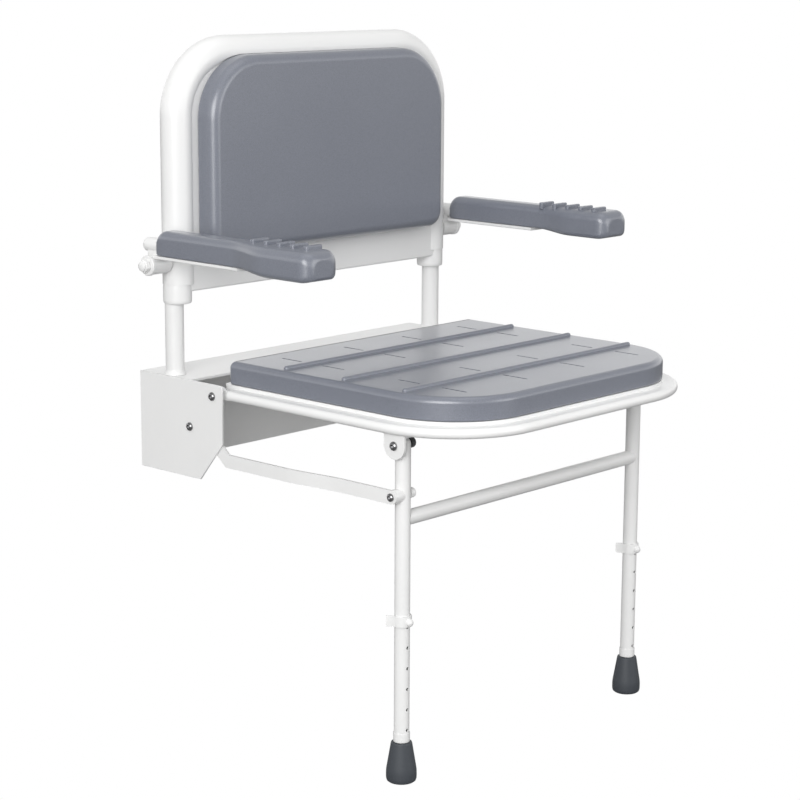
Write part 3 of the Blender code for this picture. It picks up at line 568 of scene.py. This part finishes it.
for side, label in sides:
    centre = (side * leg["x"], leg["y"])
    crown = leg["radius"] * leg["domeRise"]
    dome = [(leg["radius"] * math.cos(angle), pins["leg"][1] + crown * math.sin(angle))
            for angle in (math.radians(step) for step in range(0, 90, 10))]
    boreTop = pins["leg"][1] + leg["boreTop"]
    profile = [(0, pins["leg"][1] + crown)] + dome[::-1]
    profile += [(leg["radius"], leg["low"] + leg["lowEdge"][1]),
                (leg["radius"] - leg["lowEdge"][0], leg["low"]), (leg["bore"], leg["low"]),
                (leg["bore"], boreTop), (0, boreTop)]
    shape = turned(profile, "z", centre, 56)
    shape = drill(shape, side, pins["leg"], bores["screw"], *runs["legTube"])
    if side < 0:
        shape = drill(shape, side, pins["stayFront"], bores["stayFront"], *runs["legTube"])
    levels = [leg["firstHole"] - index * leg["holePitch"] for index in range(leg["holes"])]
    for z in levels + [clip["pinZ"]]:
        hole = rod("y", (centre[0], z), leg["holeRadius"], leg["y"] - leg["holeDepth"], leg["y"], 20)
        shape = combine(shape, hole)
    addPiece(f"legTube_{label}", shape, "powderCoat", "legs", [f"leg_tube_{label}"])
    addPiece(f"legEndRing_{label}", turned(endRing, "z", centre, 56), "whiteMoulding", "legs",
             [f"leg_end_bush_{label}"])
    addPiece(f"floorFerrule_{label}", turned(ferrule, "z", centre, 64), "ferruleRubber", f"foot_{label}",
             [f"ferrule_{label}"], 30)

    # spring clip: a band open to the rear, its left end turned out as a finger tab
    bore = leg["radius"] + gap
    outline = arc(centre, bore + clip["skin"], 0, -180, 32)
    outline += [(centre[0] - bore - out, leg["y"] + rise) for out, rise in clip["tab"]]
    outline += arc(centre, bore, -180, 0, 32)
    outline += [(centre[0] + bore + out, leg["y"] + clip["endRight"]) for out in (0, clip["skin"])]
    clipBand = slab(outline, "z", clip["low"], clip["top"], clip["edge"], clip["edge"], 2)
    knob = turned([(radius, leg["y"] + y) for radius, y in clip["knob"]], "y", (centre[0], clip["pinZ"]), 32)
    addPiece(f"heightClip_{label}", combine(clipBand, knob, "UNION"), "whiteMoulding", f"clip_{label}",
             [f"height_clip_{label}"])

crossBar = {"z": 0.328, "radius": 0.0092, "legCut": (0.30, 0.36)}
bar = rod("x", (leg["y"], crossBar["z"]), crossBar["radius"], -leg["x"], leg["x"], 48)
for side in (-1, 1):
    bar = combine(bar, rod("z", (side * leg["x"], leg["y"]), leg["radius"] + gap, *crossBar["legCut"], 56))
addPiece("crossBar", bar, "powderCoat", "legs", ["leg_crossbar"])

stayEnd = {"screwFace": 0.2464, "screwEnd": 0.212, "screwRadius": 0.003, "head": 0.005, "rise": 0.0030,
           "legCut": (0.33, 0.38),
           "boss": ((0.0085, -0.228), (0.0085, -0.2420), (0.0081, -0.2426), (0.0033, -0.2426),
                    (0.0033, -0.228)),
           "cap": ((0.0033, -0.2152), (0.00625, -0.2152), (0.00625, -0.2096), (0.0058, -0.2082),
                   (0.0045, -0.2073), (0.0025, -0.2070), (0, -0.2070), (0, -0.2090), (0.0033, -0.2090))}
boss = turned(stayEnd["boss"], "x", pins["stayFront"], 48, True)
boss = combine(boss, rod("z", (-leg["x"], leg["y"]), leg["radius"] + gap, *stayEnd["legCut"], 56))
addPiece("stayBoss", boss, "powderCoat", "legs", ["stay_boss"])
hexBolt("stayFrontScrew", -1, pins["stayFront"], stayEnd["screwFace"], stayEnd["screwEnd"], "legs",
        "stay_front_bolt", stayEnd["screwRadius"], stayEnd["head"], stayEnd["rise"])
addPiece("stayFrontCap", turned(stayEnd["cap"], "x", pins["stayFront"], 40, True), "whiteMoulding", "legs",
         ["stay_front_cap"])

print("stage: stay")
stay = {"half": 0.0085, "sheet": 0.003, "face": 0.2429, "offset": 0.0080, "bendY": -0.160,
        "swayStart": -0.355, "sway": 0.090, "swaySteps": 20, "merge": 0.00002}
bendPoint = (stay["bendY"], pins["stayFront"][1])
slope = Vector((pins["stayRear"][0] - bendPoint[0], pins["stayRear"][1] - bendPoint[1])).normalized()
across = Vector((-slope.y, slope.x))
lean = math.tan(math.atan2(slope.y, slope.x) / 2)
stations = [stay["swayStart"] + stay["sway"] * index / stay["swaySteps"]
            for index in range(stay["swaySteps"] + 1)]
nose = arc(pins["stayFront"], stay["half"], 90, 270, 24)
eye = [(pins["stayRear"][0] + stay["half"] * (math.cos(angle) * slope.x + math.sin(angle) * across.x),
        pins["stayRear"][1] + stay["half"] * (math.cos(angle) * slope.y + math.sin(angle) * across.y))
       for angle in (math.radians(-90 + 7.5 * step) for step in range(25))]
upperLine = nose[:13][::-1] + [(y, bendPoint[1] + stay["half"]) for y in stations]
upperLine += [(bendPoint[0] - stay["half"] * lean, bendPoint[1] + stay["half"])] + eye[12:][::-1]
lowerLine = nose[12:] + [(y, bendPoint[1] - stay["half"]) for y in stations]
lowerLine += [(bendPoint[0] + stay["half"] * lean, bendPoint[1] - stay["half"])] + eye[:13]


def stayRow(strip, line, depth):
    # one edge line of the bar, which sways outwards on its way back to the bracket
    row = []
    for y, z in line:
        sway = stay["offset"] * ease(y, stay["swayStart"], stay["swayStart"] + stay["sway"])
        row.append(strip.verts.new((-(stay["face"] + sway + depth), y, z)))
    return row


strip = bmesh.new()
rows = [[stayRow(strip, line, depth) for line in (upperLine, lowerLine)] for depth in (0.0, stay["sheet"])]
for first, second in ((rows[0][0], rows[1][0]), (rows[0][1], rows[1][1]), rows[0], rows[1]):
    for index in range(len(upperLine) - 1):
        strip.faces.new((first[index], first[index + 1], second[index + 1], second[index]))
outward(strip, stay["merge"])
bmesh.ops.dissolve_degenerate(strip, edges=strip.edges, dist=stay["merge"])
for pin in ("stayFront", "stayRear"):
    strip = drill(strip, -1, pins[pin], bores[pin], *runs[pin])
addPiece("stayStrip", strip, "powderCoat", "stay", ["stay_bar"])

print("stage: arms")
arm = {"x": 0.272, "tubeZ": 0.6222, "tubeRadius": 0.0095, "tubeRear": -0.034, "tubeFront": -0.318,
       "tubeEnd": ((0.35, 0.0003), (0.62, 0.0013), (0.82, 0.0030), (0.94, 0.0050), (1, 0.0080)),
       "trayLow": 0.6078, "trayTop": 0.6119, "trayCorners": (0.0015, 0.0015, 0.0004, 0.0004),
       "trayRows": (-0.070, -0.150, -0.204, -0.214, -0.224)}
pivot = {"shank": ((0, 0.226), (0.004, 0.226), (0.004, 0.2906), (0, 0.2906)),
         "nut": 0.0088, "nutFace": 0.2905, "nutTop": 0.2965, "nutEdge": 0.0008,
         "crown": ((0, 0.2955), (0.0066, 0.2955), (0.0066, 0.2972), (0.0061, 0.2988), (0.0047, 0.2997),
                   (0.0025, 0.3000), (0, 0.3000)),
         "barrel": ((0.0118, 0.2581), (0.0122, 0.2590), (0.0122, 0.2846), (0.0130, 0.2853), (0.0130, 0.2892),
                    (0.0122, 0.2902), (0.0043, 0.2902), (0.0043, 0.2581)),
         "saddleInner": 0.264, "saddleOuter": 0.280, "saddleHalf": 0.009, "saddleSink": 0.004,
         "tubeCut": (-0.075, -0.035)}
armPad = {"rear": -0.070, "front": -0.356, "bodyRear": -0.110, "bodyFront": -0.340, "bodySteps": 28,
          "narrow": (0.2595, 0.291), "wide": (0.2508, 0.3075), "innerSwell": (-0.238, -0.298),
          "outerSwell": (-0.205, -0.280), "drop": (-0.2245, -0.290), "top": 0.6435, "lowRear": 0.6122,
          "lowFront": 0.6075, "soft": 0.002, "softGrowth": 0.005, "upper": 0.010, "upperGrowth": 0.002,
          "rearSteps": 8, "rearRoll": 0.016, "rearShrink": 0.005, "rearLift": 0.3, "rearRadius": 0.0065,
          "rearGrowth": 0.0035, "frontSteps": 9, "frontShrink": 0.014, "frontLift": 0.45, "frontDip": 0.75,
          "tubeCut": (-0.3185, -0.05),
          "ribs": 5, "firstRib": -0.2410, "lastRib": -0.3310, "ribReach": 0.0135, "ribHalf": 0.0034,
          "ribSink": 0.004, "ribTop": 0.6483, "ribCorner": 0.0024, "ribRoll": 0.0016}


def armSection(y, side, low, high, radii, shrink=0.0):
    near, far = (narrow + (wide - narrow) * ease(y, *swell) for narrow, wide, swell
                 in zip(armPad["narrow"], armPad["wide"], (armPad["innerSwell"], armPad["outerSwell"])))
    return [(side * x, y, z) for x, z in roundedBox(near + shrink, far - shrink, low, high, radii, 8)]


def armPadRings(side):
    rings = []
    for step in range(armPad["rearSteps"] + 1):  # rear end rolls over towards the back
        turn = math.radians(90 * step / armPad["rearSteps"])
        y = armPad["rear"] - armPad["rearRoll"] * (1 - math.cos(turn))
        shrink = armPad["rearShrink"] * (1 - math.sin(turn))
        low = armPad["lowRear"] + armPad["rearLift"] * shrink
        high = armPad["top"] - armPad["rearRoll"] * (1 - math.sin(turn))
        radius = armPad["rearRadius"] + armPad["rearGrowth"] * math.sin(turn)
        rings.append(armSection(y, side, low, high, (armPad["soft"], armPad["soft"], radius, radius), shrink))
    for step in range(1, armPad["bodySteps"] + 1):
        y = armPad["bodyRear"] + (armPad["bodyFront"] - armPad["bodyRear"]) * step / armPad["bodySteps"]
        low = armPad["lowRear"] + (armPad["lowFront"] - armPad["lowRear"]) * ease(y, *armPad["drop"])
        soft = armPad["soft"] + armPad["softGrowth"] * ease(y, *armPad["outerSwell"])
        upper = armPad["upper"] + armPad["upperGrowth"] * ease(y, *armPad["outerSwell"])
        rings.append(armSection(y, side, low, armPad["top"], (soft, soft, upper, upper)))
    softFront, upperFront = (armPad[name] + armPad[f"{name}Growth"] for name in ("soft", "upper"))
    for step in range(1, armPad["frontSteps"] + 1):  # front end rolls in
        turn = math.radians(90 * step / armPad["frontSteps"])
        y = armPad["bodyFront"] + (armPad["front"] - armPad["bodyFront"]) * math.sin(turn)
        shrink = armPad["frontShrink"] * (1 - math.cos(turn))
        low = armPad["lowFront"] + armPad["frontLift"] * shrink
        high = armPad["top"] - armPad["frontDip"] * shrink
        rings.append(armSection(y, side, low, high, (softFront, softFront, upperFront, upperFront), shrink))
    return rings


for side, label in sides:
    screw = turnedAcross(pivot["shank"], side, pins["arm"], 32)
    hexagon = arc(pins["arm"], pivot["nut"], 15, 375, 6)[:-1]
    nut = slab(hexagon, "x", *span(side, pivot["nutFace"], pivot["nutTop"]),
               pivot["nutEdge"], pivot["nutEdge"])
    screw = combine(screw, nut, "UNION")
    screw = combine(screw, turnedAcross(pivot["crown"], side, pins["arm"], 40), "UNION")
    addPiece(f"armPivotScrew_{label}", screw, "whiteMoulding", "wall_frame", [f"arm_pivot_bolt_{label}"])

    axle = (side * arm["x"], arm["tubeZ"])
    barrel = turnedAcross(pivot["barrel"], side, pins["arm"], 56, True)
    saddle = roundedBox(*span(side, pivot["saddleInner"], pivot["saddleOuter"]),
                        pins["arm"][0] - pivot["saddleHalf"], pins["arm"][0] + pivot["saddleHalf"],
                        (0, 0, 0, 0))
    barrel = combine(barrel, slab(saddle, "z", pins["arm"][1] + pivot["saddleHalf"],
                                  arm["tubeZ"] - pivot["saddleSink"]), "UNION")
    barrel = combine(barrel, rod("y", axle, arm["tubeRadius"] + gap, *pivot["tubeCut"], 56))
    addPiece(f"armBarrel_{label}", barrel, "powderCoat", f"arm_{label}", [f"arm_barrel_{label}"])

    profile = [(0, arm["tubeRear"])]
    profile += [(arm["tubeRadius"] * share, arm["tubeRear"] - depth) for share, depth in arm["tubeEnd"]]
    profile += [(arm["tubeRadius"], arm["tubeFront"]), (0, arm["tubeFront"])]
    addPiece(f"armTube_{label}", turned(profile, "y", axle, 56), "powderCoat", f"arm_{label}",
             [f"arm_tube_{label}"])

    tray = loft([armSection(y, side, arm["trayLow"], arm["trayTop"], arm["trayCorners"])
                 for y in arm["trayRows"]])
    addPiece(f"armTray_{label}", tray, "powderCoat", f"arm_{label}", [f"arm_tray_{label}"])

    shape = loft(armPadRings(side))
    pitch = (armPad["lastRib"] - armPad["firstRib"]) / (armPad["ribs"] - 1)
    for index in range(armPad["ribs"]):
        y = armPad["firstRib"] + pitch * index
        rib = roundedBox(*span(side, arm["x"] - armPad["ribReach"], arm["x"] + armPad["ribReach"]),
                         y - armPad["ribHalf"], y + armPad["ribHalf"], (armPad["ribCorner"],) * 4, 8)
        shape = combine(shape, slab(rib, "z", armPad["top"] - armPad["ribSink"], armPad["ribTop"],
                                    armPad["ribRoll"], 0, 4), "UNION")
    shape = combine(shape, rod("y", axle, arm["tubeRadius"] + gap, *armPad["tubeCut"], 56))
    armCushion = addPiece(f"armCushion_{label}", shape, "padSkin", f"arm_{label}", [f"arm_pad_{label}"], 50)

print("stage: floor, light and camera")
studio = {"floorSize": 40.0, "floorDrop": 0.0004, "floorWhite": 1.0, "floorBounce": 0.25,
          "skyBand": (-0.25, 0.55), "skyLight": (0.33, 0.70), "glossBand": (0.18, 0.50),
          "glossLight": (1.25, 0.5), "skySeen": 1.0}
floor = bmesh.new()
bmesh.ops.create_grid(floor, x_segments=1, y_segments=1, size=studio["floorSize"] / 2)
for vert in floor.verts:
    vert.co.z = floorZ - studio["floorDrop"]
mesh = bpy.data.meshes.new("studioFloor")
floor.to_mesh(mesh)
floor.free()
floorPiece = bpy.data.objects.new("studioFloor", mesh)
bpy.context.scene.collection.objects.link(floorPiece)

# the floor and the sky are seen as one white sweep, and light the seat far less from below
floorLook = bpy.data.materials.new("studioFloor")
floorLook.use_nodes = True
tree = floorLook.node_tree
tree.nodes.remove(tree.nodes["Principled BSDF"])
seen = nodeIn(tree, "ShaderNodeLightPath")
glow = nodeIn(tree, "ShaderNodeEmission")
glow.inputs["Color"].default_value = (1, 1, 1, 1)
glow.inputs["Strength"].default_value = studio["floorWhite"]
matt = nodeIn(tree, "ShaderNodeBsdfDiffuse")
matt.inputs["Color"].default_value = (*(studio["floorBounce"],) * 3, 1)
either = nodeIn(tree, "ShaderNodeMixShader")
tree.links.new(seen.outputs["Is Camera Ray"], either.inputs["Fac"])
tree.links.new(matt.outputs["BSDF"], either.inputs[1])
tree.links.new(glow.outputs["Emission"], either.inputs[2])
tree.links.new(either.outputs["Shader"], tree.nodes["Material Output"].inputs["Surface"])
mesh.materials.append(floorLook)

# three strengths of one white sky: for plain light, for reflections and for the eye
world = bpy.data.worlds.new("studioSky")
world.use_nodes = True
tree = world.node_tree
sky = tree.nodes["Background"]
sky.inputs["Color"].default_value = (1, 1, 1, 1)
seen = nodeIn(tree, "ShaderNodeLightPath")
heading = nodeIn(tree, "ShaderNodeTexCoord")
height = nodeIn(tree, "ShaderNodeSeparateXYZ")
fade = nodeIn(tree, "ShaderNodeMapRange", interpolation_type="SMOOTHSTEP")
setRange(fade, studio["skyBand"], studio["skyLight"])
shine = nodeIn(tree, "ShaderNodeMix", data_type="FLOAT")
band = nodeIn(tree, "ShaderNodeMapRange", interpolation_type="SMOOTHSTEP")
setRange(band, studio["glossBand"], studio["glossLight"])
level = nodeIn(tree, "ShaderNodeMix", data_type="FLOAT")
level.inputs["B"].default_value = studio["skySeen"]
tree.links.new(heading.outputs["Generated"], height.inputs["Vector"])
tree.links.new(height.outputs["Z"], fade.inputs["Value"])
tree.links.new(height.outputs["Z"], band.inputs["Value"])
tree.links.new(seen.outputs["Is Glossy Ray"], shine.inputs["Factor"])
tree.links.new(fade.outputs["Result"], shine.inputs["A"])
tree.links.new(band.outputs["Result"], shine.inputs["B"])
tree.links.new(seen.outputs["Is Camera Ray"], level.inputs["Factor"])
tree.links.new(shine.outputs["Result"], level.inputs["A"])
tree.links.new(level.outputs["Result"], sky.inputs["Strength"])
bpy.context.scene.world = world
bpy.context.scene.view_settings.view_transform = "Standard"

lightTarget = (0, -0.25, 0.0)
lights = {"keyLight": {"place": (-3.2, -2.0, 1.2), "size": 2.6, "power": 97.0},
          "topLight": {"place": (0.0, -0.8, 3.2), "size": 2.2, "power": 9.0},
          "frontLight": {"place": (0.9, -3.0, 0.7), "size": 1.8, "power": 15.0}}
for name, light in lights.items():
    lamp = bpy.data.lights.new(name, "AREA")
    lamp.shape, lamp.size, lamp.energy = "DISK", light["size"], light["power"]
    holder = bpy.data.objects.new(name, lamp)
    bpy.context.scene.collection.objects.link(holder)
    holder.location = light["place"]
    holder.rotation_euler = (Vector(lightTarget) - Vector(light["place"])).to_track_quat("-Z", "Y").to_euler()

view = {"place": (-2.0632, -2.1267, 0.9886), "azimuth": -47.252, "elevation": 11.693, "roll": 0.299,
        "lens": 98.23, "sensor": 36.0, "clip": (0.1, 60.0)}
lens = bpy.data.cameras.new("camera")
lens.lens, lens.sensor_width = view["lens"], view["sensor"]
lens.clip_start, lens.clip_end = view["clip"]
camera = bpy.data.objects.new("camera", lens)
bpy.context.scene.collection.objects.link(camera)
turn = (Matrix.Rotation(math.radians(view["azimuth"]), 4, "Z")
        @ Matrix.Rotation(math.radians(90 - view["elevation"]), 4, "X")
        @ Matrix.Rotation(math.radians(view["roll"]), 4, "Z"))
camera.matrix_world = Matrix.Translation(Vector(view["place"]) + Vector((0, 0, floorZ))) @ turn
bpy.context.scene.camera = camera

print("stage: finish")
